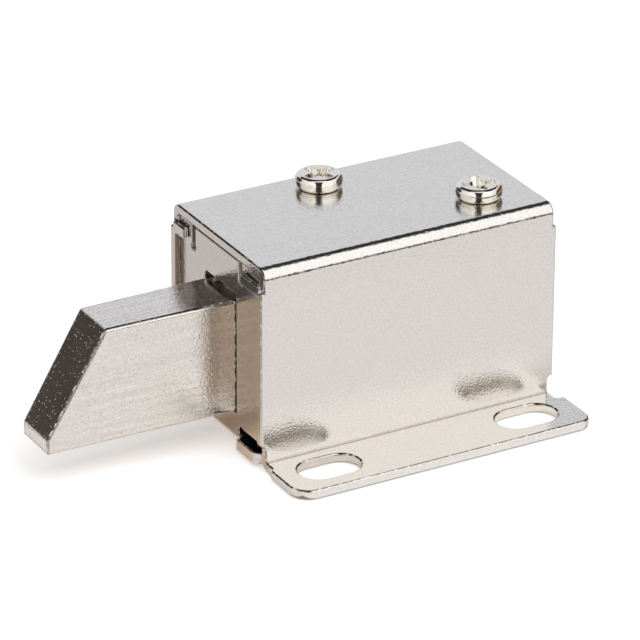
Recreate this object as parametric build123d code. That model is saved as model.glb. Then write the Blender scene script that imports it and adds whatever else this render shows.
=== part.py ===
from build123d import *
import os
from math import atan, degrees, sqrt

# Solenoid lock, millimetres. The bolt points along -X, the mounting flange stands out along -Y.
# The origin is midway between the two mounting slots, on the flange's underside.

# Room inside for the coil, which the case is drawn round
coil_room_radius = 10.05
coil_room_above = 4.1

# Cover: one sheet folded into far wall, top, near wall and flange
cover_sheet = 1.2
cover_bend = 0.15
flange_reach = 8.8
flange_corner = 2.6
flange_rear_corner = 1.8
flange_setback = 0.25
flange_past_rear = 0.5
top_setback = 0.4
setback_depth = 2.9

# Two slots in the flange
slot_spacing = 27.0
slot_length = 8.0
slot_width = 5.0
slot_to_wall = 4.2
front_slot_to_edge = 6.8
rear_slot_to_edge = 6.2

# Relief notches where the wall turns into the flange, and the notch over the base's corners
relief_length = 0.65
relief_reach = 1.95
relief_height = 3.3
relief_corner = 0.6

# Ears of the walls, pressed over the upper corners of the front and rear plates
near_ear_reach = 5.3
far_ear_reach = 3.45
ear_from_top = 2.15
ear_height = 1.5
ear_corner = 0.4

# Base frame: one sheet folded into bottom, front plate and rear plate
base_sheet = 1.5
base_bend = 0.2
base_lift = 0.3
plate_recess = 0.7
base_side_gap = 0.1
base_top_gap = 0.1
lip_width = 4.9
lip_corner = 1.3
window_height = 1.1
window_hole_radius = 0.7
near_slit_from_wall = 6.8
far_slit_from_wall = 5.0
slit_width = 0.9
slit_depth = 2.8
slit_hole_radius = 0.55
tongue_length = 3.4
tongue_bend = 0.5
opening_side_gap = 0.15
opening_low_gap = 0.1
opening_top_gap = 0.9
opening_corner = 0.5

# Latch bolt
bolt_width = 7.4
bolt_tip_width = 6.4
bolt_from_base = 4.6
bolt_reach = 23.8
bolt_top_reach = 16.1
bolt_nose = 1.75
bolt_edge = 0.2
stop_thickness = 3.2
stop_width = 10.4
stop_rise = 1.25
stop_edge = 0.4
stop_gap = 0.05

# Plunger and its cross pin
travel = 8.0
plunger_ratio = 0.42
plunger_shoulder_gap = 0.25
tongue_thickness = 3.0
tongue_inset = 0.5
tongue_reach = 4.8
tongue_gap = 0.1
tongue_corner = 1.0
cone_length = 3.0
cone_rim = 1.0
cone_tip_radius = 1.6
pin_diameter = 2.0
pin_end_gap = 0.2
pin_gap = 0.03

# Coil yoke: one sheet folded into web, front leg and rear leg
yoke_sheet = 1.5
yoke_bend = 0.3
yoke_to_rear_plate = 1.0
yoke_past_bobbin = 0.15
yoke_leg_wall = 0.78
yoke_leg_corner = 1.5
yoke_top_gap = 0.02
yoke_foot_gap = 0.1
yoke_neck_height = 2.6

# Fixed core and sleeve
pole_length = 4.0
pole_gap = 0.1
shim_thickness = 0.15
shim_bore_gap = 0.2
pole_stem_diameter = 5.0
pole_stem_reach = 0.4
fit_gap = 0.04
stake_gap = 0.02
slide_gap = 0.05
sleeve_wall = 0.4
bush_wall = 1.2

# Bobbin and winding
bobbin_wall = 0.8
bobbin_side_gap = 0.45
bobbin_flange = 1.0
bobbin_end_gap = 0.05
winding_ratio = 0.95
tape_thickness = 0.2
tape_gap = 0.03
lug_width = 3.4
lug_height = 3.6
lug_from_winding = 1.3
terminal_size = 0.64
terminal_length = 5.0
terminal_pitch = 1.8
terminal_from_end = 0.25

# Return spring
spring_wire = 0.6
spring_wire_sides = 4
spring_room = 9.35
spring_to_plunger = 0.4
spring_from_seat_edge = 1.0
spring_turns = 3.5
spring_end_gap = 0.05
seat_ratio = 0.83
seat_thickness = 0.3

# Cover screws, M3 pan head
screw_diameter = 3.0
screw_length = 5.0
screw_head_diameter = 5.8
screw_head_height = 1.75
screw_head_bevel = 0.4
screw_tip_chamfer = 0.4
screw_hole_gap = 0.1
recess_width = 1.0
recess_span = 3.8
recess_depth = 1.1
front_screw_from_yoke_front = 2.9
front_screw_from_yoke_side = 3.0
front_screw_turn = 16
rear_screw_from_yoke_rear = 3.95
rear_screw_from_yoke_side = 4.75
rear_screw_turn = -13
collar_wall = 0.8
collar_depth = 0.9

# Lead grommet in the rear plate
grommet_hole_radius = 2.3
grommet_bore_radius = 1.4
grommet_flange_radius = 3.1
grommet_flange = 0.7
grommet_from_far = 4.5
grommet_from_top = 6.4
grommet_lip = 0.6

# How far a cut runs past the face it starts from
cut_margin = 1.0

# Places that follow from the sizes
front_x = -slot_spacing / 2 - front_slot_to_edge
rear_x = slot_spacing / 2 + rear_slot_to_edge
floor_z = base_lift + base_sheet
cover_width = 2 * (coil_room_radius + cover_sheet)
cover_height = floor_z + 2 * coil_room_radius + coil_room_above
near_y = slot_to_wall
far_y = near_y + cover_width
mid_y = (near_y + far_y) / 2
under_top = cover_height - cover_sheet
base_near = near_y + cover_sheet + base_side_gap
base_far = far_y - cover_sheet - base_side_gap
base_top = under_top - base_top_gap
front_plate_x = front_x + plate_recess
rear_plate_x = rear_x - plate_recess
front_inside_x = front_plate_x + base_sheet
rear_inside_x = rear_plate_x - base_sheet
axis_z = floor_z + coil_room_radius
bolt_height = 2 * (axis_z - bolt_from_base)
bolt_top_z = bolt_from_base + bolt_height
stop_height = bolt_height + 2 * stop_rise
stop_front_x = front_inside_x + stop_gap
stop_back_x = stop_front_x + stop_thickness
pin_x = (stop_front_x + stop_back_x) / 2
yoke_rear_x = rear_inside_x - yoke_to_rear_plate
yoke_front_x = stop_back_x + spring_room
yoke_web_z = under_top - yoke_top_gap
coil_front_x = yoke_front_x + yoke_sheet
coil_rear_x = yoke_rear_x - yoke_sheet
pole_rim_x = coil_rear_x - pole_length
plunger_front_x = stop_back_x + plunger_shoulder_gap
plunger_rim_x = pole_rim_x - shim_thickness - pole_gap - travel
bobbin_flange_radius = coil_room_radius - bobbin_side_gap
plunger_radius = plunger_ratio * bobbin_flange_radius
tongue_height = 2 * (plunger_radius - tongue_inset)
cone_radius = plunger_radius - cone_rim
sleeve_bore = plunger_radius + slide_gap
sleeve_radius = sleeve_bore + sleeve_wall
bush_radius = sleeve_radius + fit_gap + bush_wall
bobbin_bore = sleeve_radius + fit_gap
bobbin_radius = bobbin_bore + bobbin_wall
bobbin_front_x = coil_front_x + bobbin_end_gap
bobbin_rear_x = coil_rear_x - bobbin_end_gap
winding_radius = winding_ratio * bobbin_flange_radius
winding_start_x = bobbin_front_x + bobbin_flange
winding_end_x = bobbin_rear_x - bobbin_flange
lug_from_axis = (winding_radius + lug_from_winding) / sqrt(2)
terminal_x = bobbin_rear_x - terminal_from_end
seat_radius = seat_ratio * bobbin_flange_radius
spring_small_radius = plunger_radius + spring_to_plunger + spring_wire / 2
spring_large_radius = seat_radius - spring_from_seat_edge
yoke_half = bobbin_flange_radius + yoke_past_bobbin
screw_places = {
    "cover_screw_front": (yoke_front_x + front_screw_from_yoke_front,
                          mid_y + yoke_half - front_screw_from_yoke_side, front_screw_turn),
    "cover_screw_rear": (yoke_rear_x - rear_screw_from_yoke_rear,
                         mid_y - yoke_half + rear_screw_from_yoke_side, rear_screw_turn),
}
grommet_y = far_y - grommet_from_far
grommet_z = cover_height - grommet_from_top


def block(x0, x1, y0, y1, z0, z1):
    """A box given by its two opposite corners."""
    centre = Pos((x0 + x1) / 2, (y0 + y1) / 2, (z0 + z1) / 2)
    return centre * Box(x1 - x0, y1 - y0, z1 - z0)


def rod_x(radius, x0, x1, y=None, z=None):
    """A round bar along X, on the bolt's axis unless y and z say otherwise."""
    y = mid_y if y is None else y
    z = axis_z if z is None else z
    return Pos(x0, y, z) * extrude(Plane.YZ * Circle(radius), x1 - x0)


def rod_z(radius, z0, z1, x, y):
    """A round bar along Z."""
    return Pos(x, y, z0) * extrude(Circle(radius), z1 - z0)


def tube_x(outer, inner, x0, x1):
    """A round tube along X on the bolt's axis."""
    return Pos(x0, mid_y, axis_z) * extrude(Plane.YZ * (Circle(outer) - Circle(inner)), x1 - x0)


def turned_x(points):
    """A solid turned about the bolt's axis from (x, radius) points."""
    outline = make_face(Polyline(*[(x, radius, 0) for x, radius in points], close=True))
    return Pos(0, mid_y, axis_z) * revolve(outline, Axis.X)


def rounded(face, corners):
    """Round the corners of a flat outline; each corner is (u, v, radius)."""
    for u, v, radius in corners:
        corner = min(face.vertices(), key=lambda p: abs(p.X - u) + abs(p.Y - v))
        face = fillet(corner, radius)
    return face


def mirrored_ends(feature):
    """A feature of the front end together with its mirror image at the rear end."""
    middle = Plane.YZ.offset((front_x + rear_x) / 2)
    return [feature, mirror(feature, about=middle)]


def make_cover():
    outer_bend = cover_bend + cover_sheet
    flange_y = near_y - flange_reach
    points = [
        (far_y, 0), (far_y, cover_height), (near_y, cover_height), (near_y, cover_sheet),
        (flange_y, cover_sheet), (flange_y, 0), (near_y + cover_sheet, 0),
        (near_y + cover_sheet, under_top), (far_y - cover_sheet, under_top), (far_y - cover_sheet, 0),
    ]
    section = make_face(Polyline(*points, close=True))
    section = rounded(section, [
        (far_y, cover_height, outer_bend), (near_y, cover_height, outer_bend),
        (near_y + cover_sheet, under_top, cover_bend), (far_y - cover_sheet, under_top, cover_bend),
        (near_y, cover_sheet, cover_bend), (near_y + cover_sheet, 0, outer_bend),
    ])
    cover = Pos(front_x, 0, 0) * extrude(Plane.YZ * section, rear_x - front_x)
    past_end_x = front_x - cut_margin
    top_step = block(past_end_x, front_x + top_setback, near_y - cut_margin, far_y + cut_margin,
                     cover_height - setback_depth, cover_height + cut_margin)
    flange_step = block(past_end_x, front_x + flange_setback, flange_y - cut_margin, near_y - cover_bend,
                        -cut_margin, cover_sheet + cover_bend)
    near_relief = block(past_end_x, front_x + relief_length, near_y - relief_reach,
                        near_y + cover_sheet + cut_margin, -cut_margin, relief_height)
    inner_edges = near_relief.faces().sort_by(Axis.X)[-1].edges()
    near_relief = fillet([inner_edges.sort_by(Axis.Y)[0], inner_edges.sort_by(Axis.Z)[-1]], relief_corner)
    far_relief = block(past_end_x, front_x + relief_length, far_y - cover_sheet - cut_margin,
                       far_y + cut_margin, -cut_margin, relief_height)
    cover -= flange_step
    cover += block(rear_x - relief_length, rear_x + flange_past_rear, flange_y, near_y - relief_reach,
                   0, cover_sheet)
    for feature in (top_step, near_relief, far_relief):
        for cut in mirrored_ends(feature):
            cover -= cut
    for end_x, radius in ((front_x, flange_corner), (rear_x, flange_rear_corner)):
        corner = min(cover.edges().filter_by(Axis.Z),
                     key=lambda edge: abs(edge.center().Y - flange_y) + abs(edge.center().X - end_x))
        cover = fillet(corner, radius)
    for side in (-1, 1):
        slot = SlotOverall(slot_length, slot_width)
        cover -= Pos(side * slot_spacing / 2, 0, 0) * extrude(slot, cover_sheet)
    for x, y, _ in screw_places.values():
        cover -= rod_z(screw_diameter / 2 + screw_hole_gap, under_top, cover_height, x, y)
    for ear in cover_ears():
        cover += ear
    return cover


def cover_ears():
    """Four ears that are pressed flat between the wall's edge and the plate behind it."""
    ear_top = cover_height - ear_from_top
    ears = []
    for wall_y, inward, ear_reach in ((near_y, 1, near_ear_reach), (far_y, -1, far_ear_reach)):
        tip_y = wall_y + inward * ear_reach
        root_y = wall_y + inward * cover_sheet / 2
        ear = block(front_x, front_plate_x - fit_gap, min(root_y, tip_y), max(root_y, tip_y),
                    ear_top - ear_height, ear_top)
        tip_edges = [edge for edge in ear.edges().filter_by(Axis.X) if abs(edge.center().Y - tip_y) < 0.01]
        ears += mirrored_ends(fillet(tip_edges, ear_corner))
    return ears


def make_base_frame():
    outer_bend = base_bend + base_sheet
    points = [
        (front_plate_x, base_top), (front_plate_x, base_lift), (rear_plate_x, base_lift),
        (rear_plate_x, base_top), (rear_inside_x, base_top), (rear_inside_x, floor_z),
        (front_inside_x, floor_z), (front_inside_x, base_top - base_sheet),
        (front_inside_x + tongue_length, base_top - base_sheet), (front_inside_x + tongue_length, base_top),
    ]
    section = make_face(Polyline(*points, close=True))
    section = rounded(section, [
        (front_plate_x, base_lift, outer_bend), (rear_plate_x, base_lift, outer_bend),
        (front_inside_x, floor_z, base_bend), (rear_inside_x, floor_z, base_bend),
        (front_plate_x, base_top, tongue_bend), (front_inside_x, base_top - base_sheet, base_bend),
    ])
    frame = Pos(0, base_far, 0) * extrude(Plane.XZ * section, base_far - base_near)
    for side_y, inward, slit_from_wall in ((base_near, 1, near_slit_from_wall),
                                           (base_far, -1, far_slit_from_wall)):
        frame = shape_base_side(frame, side_y, inward, slit_from_wall)
    half_width = bolt_width / 2 + opening_side_gap
    low_z = bolt_from_base - opening_low_gap
    high_z = bolt_from_base + bolt_height + opening_top_gap
    opening = block(front_plate_x, front_inside_x, mid_y - half_width, mid_y + half_width, low_z, high_z)
    upper_edges = opening.edges().filter_by(Axis.X).sort_by(Axis.Z)[-2:]
    frame -= fillet(upper_edges, opening_corner)
    frame -= rod_x(grommet_hole_radius, rear_inside_x, rear_plate_x, grommet_y, grommet_z)
    return frame


def shape_base_side(frame, side_y, inward, slit_from_wall):
    """Cut the slits, windows and top corner of one side of the base and add its corner lips."""
    def across(from_side, to_side):
        """The lower and higher y of a stretch measured inwards from the side."""
        ends = (side_y + inward * from_side, side_y + inward * to_side)
        return min(ends), max(ends)

    slit_y = slit_from_wall - cover_sheet - base_side_gap
    under_bend = base_top - base_sheet - base_bend
    frame -= block(front_inside_x, front_inside_x + tongue_length + cut_margin, *across(-cut_margin, slit_y),
                   under_bend, base_top + cut_margin)
    frame += block(front_plate_x, front_inside_x, *across(0, slit_y - slit_width), under_bend, base_top)
    frame -= block(front_plate_x, front_inside_x + base_bend, *across(slit_y - slit_width, slit_y),
                   base_top - slit_depth, base_top)
    frame -= rod_x(slit_hole_radius, front_plate_x, front_inside_x + base_sheet,
                   side_y + inward * (slit_y - slit_width / 2), base_top - slit_depth)
    window = block(front_plate_x - cut_margin, front_inside_x + base_bend, *across(-cut_margin, lip_width),
                   floor_z, floor_z + window_height)
    window += rod_x(window_hole_radius, front_plate_x - cut_margin, front_inside_x + base_bend,
                    side_y + inward * lip_width, floor_z + window_height / 2)
    lip = block(front_x, front_inside_x + base_sheet, *across(0, lip_width), base_lift, floor_z)
    for cut in mirrored_ends(window):
        frame -= cut
    for added in mirrored_ends(lip):
        frame += added
    corner_edges = [edge for edge in frame.edges().filter_by(Axis.Z)
                    if abs(edge.center().Y - side_y) < 0.01
                    and min(abs(edge.center().X - front_x), abs(edge.center().X - rear_x)) < 0.01]
    return fillet(corner_edges, lip_corner)


def make_latch_bolt():
    nose_x = front_x - bolt_reach
    side = make_face(Polyline(
        (stop_back_x, bolt_from_base), (nose_x, bolt_from_base), (nose_x, bolt_from_base + bolt_nose),
        (front_x - bolt_top_reach, bolt_top_z), (stop_back_x, bolt_top_z), close=True))
    half = bolt_width / 2
    bar = Pos(0, mid_y + half, 0) * extrude(Plane.XZ * side, bolt_width)
    half_tip = bolt_tip_width / 2
    plan = make_face(Polyline(
        (stop_back_x, mid_y - half), (front_plate_x, mid_y - half), (nose_x, mid_y - half_tip),
        (nose_x, mid_y + half_tip), (front_plate_x, mid_y + half), (stop_back_x, mid_y + half), close=True))
    bar = bar & Pos(0, 0, bolt_from_base) * extrude(plan, bolt_height)
    bar = chamfer([edge for edge in bar.edges() if is_outer_bolt_edge(edge)], bolt_edge)
    stop = block(stop_front_x, stop_back_x, mid_y - stop_width / 2, mid_y + stop_width / 2,
                 axis_z - stop_height / 2, axis_z + stop_height / 2)
    stop = fillet(stop.edges().filter_by(Axis.X), stop_edge)
    bolt = bar + stop
    slot_half = tongue_thickness / 2 + tongue_gap
    slot_rise = tongue_height / 2 + tongue_gap
    bolt -= block(plunger_front_x - tongue_reach - tongue_gap, stop_back_x, mid_y - slot_half,
                  mid_y + slot_half, axis_z - slot_rise, axis_z + slot_rise)
    return bolt - cross_bar(pin_diameter / 2 + pin_gap, stop_width)


def is_outer_bolt_edge(edge):
    """True for the bolt's edges outside the stop, apart from the upright lines where its taper starts."""
    middle = edge.center()
    at_tail = middle.X > stop_back_x - 0.01
    upright = abs(edge.tangent_at(0).Z) > 0.99
    return not at_tail and not (upright and abs(middle.X - front_plate_x) < 0.01)


def cross_bar(radius, length):
    """A round bar across the bolt, through its stop shoulder."""
    return Pos(pin_x, mid_y + length / 2, axis_z) * extrude(Plane.XZ * Circle(radius), length)


def make_cross_pin():
    pin = cross_bar(pin_diameter / 2, stop_width - 2 * pin_end_gap)
    return chamfer(pin.edges().filter_by(GeomType.CIRCLE), pin_end_gap)


def make_plunger():
    body = turned_x([
        (plunger_front_x, 0), (plunger_front_x, plunger_radius), (plunger_rim_x, plunger_radius),
        (plunger_rim_x, cone_radius), (plunger_rim_x + cone_length, cone_tip_radius),
        (plunger_rim_x + cone_length, 0),
    ])
    tongue = block(plunger_front_x - tongue_reach, plunger_front_x, mid_y - tongue_thickness / 2,
                   mid_y + tongue_thickness / 2, axis_z - tongue_height / 2, axis_z + tongue_height / 2)
    front_edges = tongue.edges().filter_by(Axis.Y).sort_by(Axis.X)[:2]
    tongue = fillet(front_edges, tongue_corner)
    return body + tongue - cross_bar(pin_diameter / 2 + pin_gap, tongue_thickness)


def make_pole_piece():
    stem_radius = pole_stem_diameter / 2
    stem_end_x = yoke_rear_x + pole_stem_reach
    mouth = cone_radius + pole_gap
    return turned_x([
        (pole_rim_x, mouth), (pole_rim_x, plunger_radius), (coil_rear_x, plunger_radius),
        (coil_rear_x, stem_radius), (stem_end_x, stem_radius), (stem_end_x, 0),
        (pole_rim_x + cone_length, 0), (pole_rim_x + cone_length, cone_tip_radius + pole_gap),
    ])


def make_pole_shim():
    return tube_x(plunger_radius, cone_radius + shim_bore_gap, pole_rim_x - shim_thickness, pole_rim_x)


def make_plunger_sleeve():
    return tube_x(sleeve_radius, sleeve_bore, yoke_front_x, coil_rear_x)


def make_yoke_bush():
    return tube_x(bush_radius, sleeve_radius + fit_gap, yoke_front_x, coil_front_x)


def make_coil_yoke():
    outer_bend = yoke_bend + yoke_sheet
    foot_z = floor_z + yoke_foot_gap
    web_low = yoke_web_z - yoke_sheet
    section = make_face(Polyline(
        (yoke_front_x, foot_z), (yoke_front_x, yoke_web_z), (yoke_rear_x, yoke_web_z),
        (yoke_rear_x, foot_z), (coil_rear_x, foot_z), (coil_rear_x, web_low),
        (coil_front_x, web_low), (coil_front_x, foot_z), close=True))
    section = rounded(section, [
        (yoke_front_x, yoke_web_z, outer_bend), (yoke_rear_x, yoke_web_z, outer_bend),
        (coil_front_x, web_low, yoke_bend), (coil_rear_x, web_low, yoke_bend),
    ])
    yoke = Pos(0, mid_y + yoke_half, 0) * extrude(Plane.XZ * section, 2 * yoke_half)
    leg_half = bush_radius + yoke_leg_wall
    neck_z = yoke_web_z - yoke_neck_height
    for side in (-1, 1):
        outer = mid_y + side * yoke_half
        inner = mid_y + side * leg_half
        yoke -= block(yoke_front_x, yoke_rear_x, min(inner, outer), max(inner, outer), foot_z, neck_z)
    foot_edges = [edge for edge in yoke.edges().filter_by(Axis.X) if edge.center().Z < foot_z + 0.01]
    yoke = fillet([edge for edge in foot_edges if edge.length < 2 * yoke_sheet], yoke_leg_corner)
    yoke -= rod_x(bush_radius + stake_gap, yoke_front_x, coil_front_x)
    yoke -= rod_x(pole_stem_diameter / 2 + stake_gap, coil_rear_x, yoke_rear_x)
    for x, y, _ in screw_places.values():
        yoke += rod_z(screw_diameter / 2 + collar_wall, web_low - collar_depth, web_low, x, y)
        yoke -= rod_z(screw_diameter / 2 + stake_gap, web_low - collar_depth, yoke_web_z, x, y)
    return yoke


def make_bobbin():
    bobbin = tube_x(bobbin_radius, bobbin_bore, bobbin_front_x, bobbin_rear_x)
    bobbin += tube_x(bobbin_flange_radius, bobbin_bore, bobbin_front_x, winding_start_x)
    bobbin += tube_x(bobbin_flange_radius, bobbin_bore, winding_end_x, bobbin_rear_x)
    bobbin += block(winding_end_x, bobbin_rear_x, mid_y + lug_from_axis - lug_width / 2,
                    mid_y + lug_from_axis + lug_width / 2, axis_z + lug_from_axis - lug_height / 2,
                    axis_z + lug_from_axis + lug_height / 2)
    half = terminal_size / 2
    for y, z in terminal_places():
        bobbin -= block(winding_end_x, terminal_x, y - half, y + half, z - half, z + half)
    return bobbin


def terminal_places():
    """The centres of the two pins, beside each other across the lug."""
    y = mid_y + lug_from_axis
    z = axis_z + lug_from_axis
    step = terminal_pitch / 2
    return [(y - step, z + step), (y + step, z - step)]


def make_terminal_pin(y, z):
    half = terminal_size / 2
    return block(terminal_x - terminal_length, terminal_x, y - half, y + half, z - half, z + half)


def make_coil_winding():
    return tube_x(winding_radius, bobbin_radius + tape_gap, winding_start_x, winding_end_x)


def make_coil_tape():
    inner = winding_radius + tape_gap
    return tube_x(inner + tape_thickness, inner, winding_start_x, winding_end_x)


def make_return_spring():
    # The wire has flat sides here, which keeps the faces few. scene.py makes it round.
    small_x = stop_back_x + spring_end_gap + spring_wire / 2
    large_x = yoke_front_x - seat_thickness - spring_end_gap - spring_wire / 2
    length = large_x - small_x
    cone = degrees(atan((spring_large_radius - spring_small_radius) / length))
    path = Helix(length / spring_turns, length, spring_small_radius, cone_angle=cone)
    wire = Plane(path @ 0, z_dir=path % 0) * RegularPolygon(spring_wire / 2, spring_wire_sides)
    spring = sweep(wire, path=path)
    return Pos(small_x, mid_y, axis_z) * Rot(0, 90, 0) * spring


def make_spring_seat_washer():
    return tube_x(seat_radius, sleeve_radius, yoke_front_x - seat_thickness, yoke_front_x)


def make_cover_screw(x, y, turn):
    radius = screw_diameter / 2
    head = screw_head_diameter / 2
    rim = head - screw_head_bevel
    profile = make_face(Polyline(
        (0, -screw_length), (radius - screw_tip_chamfer, -screw_length),
        (radius, -screw_length + screw_tip_chamfer), (radius, 0), (rim, 0), (head, screw_head_bevel),
        (head, screw_head_height - screw_head_bevel), (rim, screw_head_height), (0, screw_head_height),
        close=True))
    screw = revolve(Plane.XZ * profile, Axis.Z)
    for arm_turn in (0, 90):
        arm = Rot(0, 0, arm_turn) * Box(recess_span, recess_width, recess_depth)
        screw -= Pos(0, 0, screw_head_height - recess_depth / 2) * arm
    return Pos(x, y, cover_height) * Rot(0, 0, turn) * screw


def make_lead_grommet():
    inner_x = rear_inside_x - fit_gap
    outer_x = rear_plate_x + fit_gap
    groove = grommet_hole_radius - fit_gap
    outline = make_face(Polyline(
        (inner_x - grommet_flange, grommet_bore_radius), (inner_x - grommet_flange, grommet_flange_radius),
        (inner_x, grommet_flange_radius), (inner_x, groove), (outer_x, groove),
        (outer_x, grommet_flange_radius), (outer_x + grommet_flange, grommet_bore_radius + grommet_lip),
        (outer_x + grommet_flange, grommet_bore_radius), close=True))
    return Pos(0, grommet_y, grommet_z) * revolve(outline, Axis.X)


def make_parts():
    parts = {
        "cover": make_cover(),
        "base_frame": make_base_frame(),
        "latch_bolt": make_latch_bolt(),
        "plunger": make_plunger(),
        "cross_pin": make_cross_pin(),
        "return_spring": make_return_spring(),
        "spring_seat_washer": make_spring_seat_washer(),
        "coil_yoke": make_coil_yoke(),
        "yoke_bush": make_yoke_bush(),
        "plunger_sleeve": make_plunger_sleeve(),
        "pole_piece": make_pole_piece(),
        "pole_shim": make_pole_shim(),
        "bobbin": make_bobbin(),
        "coil_winding": make_coil_winding(),
        "coil_tape": make_coil_tape(),
        "lead_grommet": make_lead_grommet(),
    }
    for number, (y, z) in enumerate(terminal_places(), start=1):
        parts[f"terminal_pin_{number}"] = make_terminal_pin(y, z)
    for name, (x, y, turn) in screw_places.items():
        parts[name] = make_cover_screw(x, y, turn)
    return parts


os.makedirs("parts", exist_ok=True)
for name, shape in make_parts().items():
    export_step(shape, f"parts/{name}.step")
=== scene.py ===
from math import cos, pi, radians, sin

import bmesh
import bpy
import numpy as np
from mathutils import Matrix, Vector
from mathutils.bvhtree import BVHTree


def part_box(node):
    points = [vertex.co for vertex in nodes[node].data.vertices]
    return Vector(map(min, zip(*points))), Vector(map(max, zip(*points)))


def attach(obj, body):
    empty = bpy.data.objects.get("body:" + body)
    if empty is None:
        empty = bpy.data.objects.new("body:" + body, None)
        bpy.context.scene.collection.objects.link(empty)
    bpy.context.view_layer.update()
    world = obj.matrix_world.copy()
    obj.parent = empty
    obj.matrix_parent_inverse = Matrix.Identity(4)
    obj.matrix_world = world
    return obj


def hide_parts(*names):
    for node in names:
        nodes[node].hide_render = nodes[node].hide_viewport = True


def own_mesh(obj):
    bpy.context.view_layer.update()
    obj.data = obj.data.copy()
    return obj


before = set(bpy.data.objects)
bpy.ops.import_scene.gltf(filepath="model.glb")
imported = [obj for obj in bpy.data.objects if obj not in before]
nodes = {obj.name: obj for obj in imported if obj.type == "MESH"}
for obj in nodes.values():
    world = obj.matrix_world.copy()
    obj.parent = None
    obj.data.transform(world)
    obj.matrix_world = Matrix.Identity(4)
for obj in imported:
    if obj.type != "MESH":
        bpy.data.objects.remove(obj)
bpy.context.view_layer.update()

# Base frame
# One strip of 1.5 mm steel, folded into the bottom and the two end plates, with the bolt's opening, the
# relief windows and the slits punched beforehand. It is plated with nickel in a barrel, which leaves a
# satin skin.
mm = 0.001
sheet_edge_round = 0.24
rounding_steps = 3
sharp_edge = radians(32)
flat_fold = radians(1)
joint_gap = 0.001
stray_share = 0.5
least_normal_y = -0.75


def joined_copy(node, name, body, edge_round, line_above=-0.1):
    """A copy of a CAD node with its loose triangles joined, its flat faces whole and its sharp edges
    rounded. Where edges meet too closely for the rounding, points that it puts further off the surface than
    a share of its size go back to it. The attribute painted_edge_line is 1 along the roundings, apart from
    the side of them that faces -Y and from those that look further down than line_above, their normal's least
    Z.
    Along it the skin paints a dark line, a painted reflection of the studio's dark frame."""
    mesh = nodes[node].data.copy()
    mesh.name = name
    mesh.materials.clear()
    shape = bmesh.new()
    shape.from_mesh(mesh)
    bmesh.ops.remove_doubles(shape, verts=shape.verts, dist=joint_gap * mm)
    bmesh.ops.dissolve_limit(shape, angle_limit=flat_fold, verts=shape.verts, edges=shape.edges)
    surface = BVHTree.FromBMesh(shape)
    sharp = [edge for edge in shape.edges if edge.calc_face_angle(0) > sharp_edge]
    rounding = bmesh.ops.bevel(shape, geom=sharp, offset=edge_round * mm, segments=rounding_steps,
                               profile=0.5, affect="EDGES", clamp_overlap=False)
    rounded_faces = set(rounding["faces"])
    for point in shape.verts:
        nearest, _, _, distance = surface.find_nearest(point.co)
        if distance > stray_share * edge_round * mm:
            point.co = nearest
    shape.normal_update()
    painted_edge_line = shape.verts.layers.float.new("painted_edge_line")
    for point in shape.verts:
        on_edge = all(face in rounded_faces for face in point.link_faces)
        lined = point.normal.y > least_normal_y and point.normal.z > line_above
        point[painted_edge_line] = float(on_edge and lined)
    shape.to_mesh(mesh)
    shape.free()
    mesh.shade_smooth()
    piece = bpy.data.objects.new(name, mesh)
    bpy.context.scene.collection.objects.link(piece)
    shading = piece.modifiers.new("flat faces stay flat", "WEIGHTED_NORMAL")
    shading.keep_sharp = True
    shading.weight = 80
    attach(piece, body)
    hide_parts(node)
    return piece


def new_group(name, inputs, outputs):
    """A shader node group with named inputs as (name, socket, value) and outputs as (name, socket)."""
    group = bpy.data.node_groups.new(name, "ShaderNodeTree")
    for label, kind, value in inputs:
        socket = group.interface.new_socket(label, in_out="INPUT", socket_type=kind)
        socket.default_value = value
    for label, kind in outputs:
        group.interface.new_socket(label, in_out="OUTPUT", socket_type=kind)
    return group


def add(tree, kind, links=(), **values):
    """A node of a tree, with its properties set and (input, source socket or value) pairs connected."""
    node = tree.nodes.new(kind)
    for name, value in values.items():
        setattr(node, name, value)
    for name, source in links:
        if isinstance(source, bpy.types.NodeSocket):
            tree.links.new(source, node.inputs[name])
        else:
            node.inputs[name].default_value = source
    return node


def calculate(tree, operation, first, second=0.0, third=0.0):
    """The result of one maths step on sockets or numbers."""
    links = [(0, first), (1, second), (2, third)]
    return add(tree, "ShaderNodeMath", links, operation=operation).outputs[0]


def combine(tree, operation, first, second):
    """The result of one step on two vectors or colours."""
    return add(tree, "ShaderNodeVectorMath", [(0, first), (1, second)], operation=operation).outputs[0]


def scale(tree, vector, factor):
    """A vector or colour times a number."""
    links = [(0, vector), ("Scale", factor)]
    return add(tree, "ShaderNodeVectorMath", links, operation="SCALE").outputs[0]


def spread(tree, value, low, high, to_low=0.0, to_high=1.0):
    """A value that passes smoothly from to_low to to_high while its source goes from low to high."""
    links = [("Value", value), ("From Min", low), ("From Max", high),
             ("To Min", to_low), ("To Max", to_high)]
    return add(tree, "ShaderNodeMapRange", links, interpolation_type="SMOOTHSTEP").outputs["Result"]


def noise(tree, place, fineness, detail):
    """A cloudy value round 0.5, with as many clouds to a unit of place as the fineness says."""
    links = [("Vector", place), ("Scale", fineness), ("Detail", detail)]
    return add(tree, "ShaderNodeTexNoise", links).outputs["Fac"]


def place_in_mm(tree):
    """The object's own coordinates in millimetres."""
    return scale(tree, add(tree, "ShaderNodeTexCoord").outputs["Object"], 1 / mm)


waves_per_mm, drifts_per_mm, breaks_per_mm = 0.16, 0.45, 1.6
pit_core, pit_rim = 0.04, 0.22
pit_shade, drift_shade = -0.28, 0.06
line_breaks = (0.36, 0.52)


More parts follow.
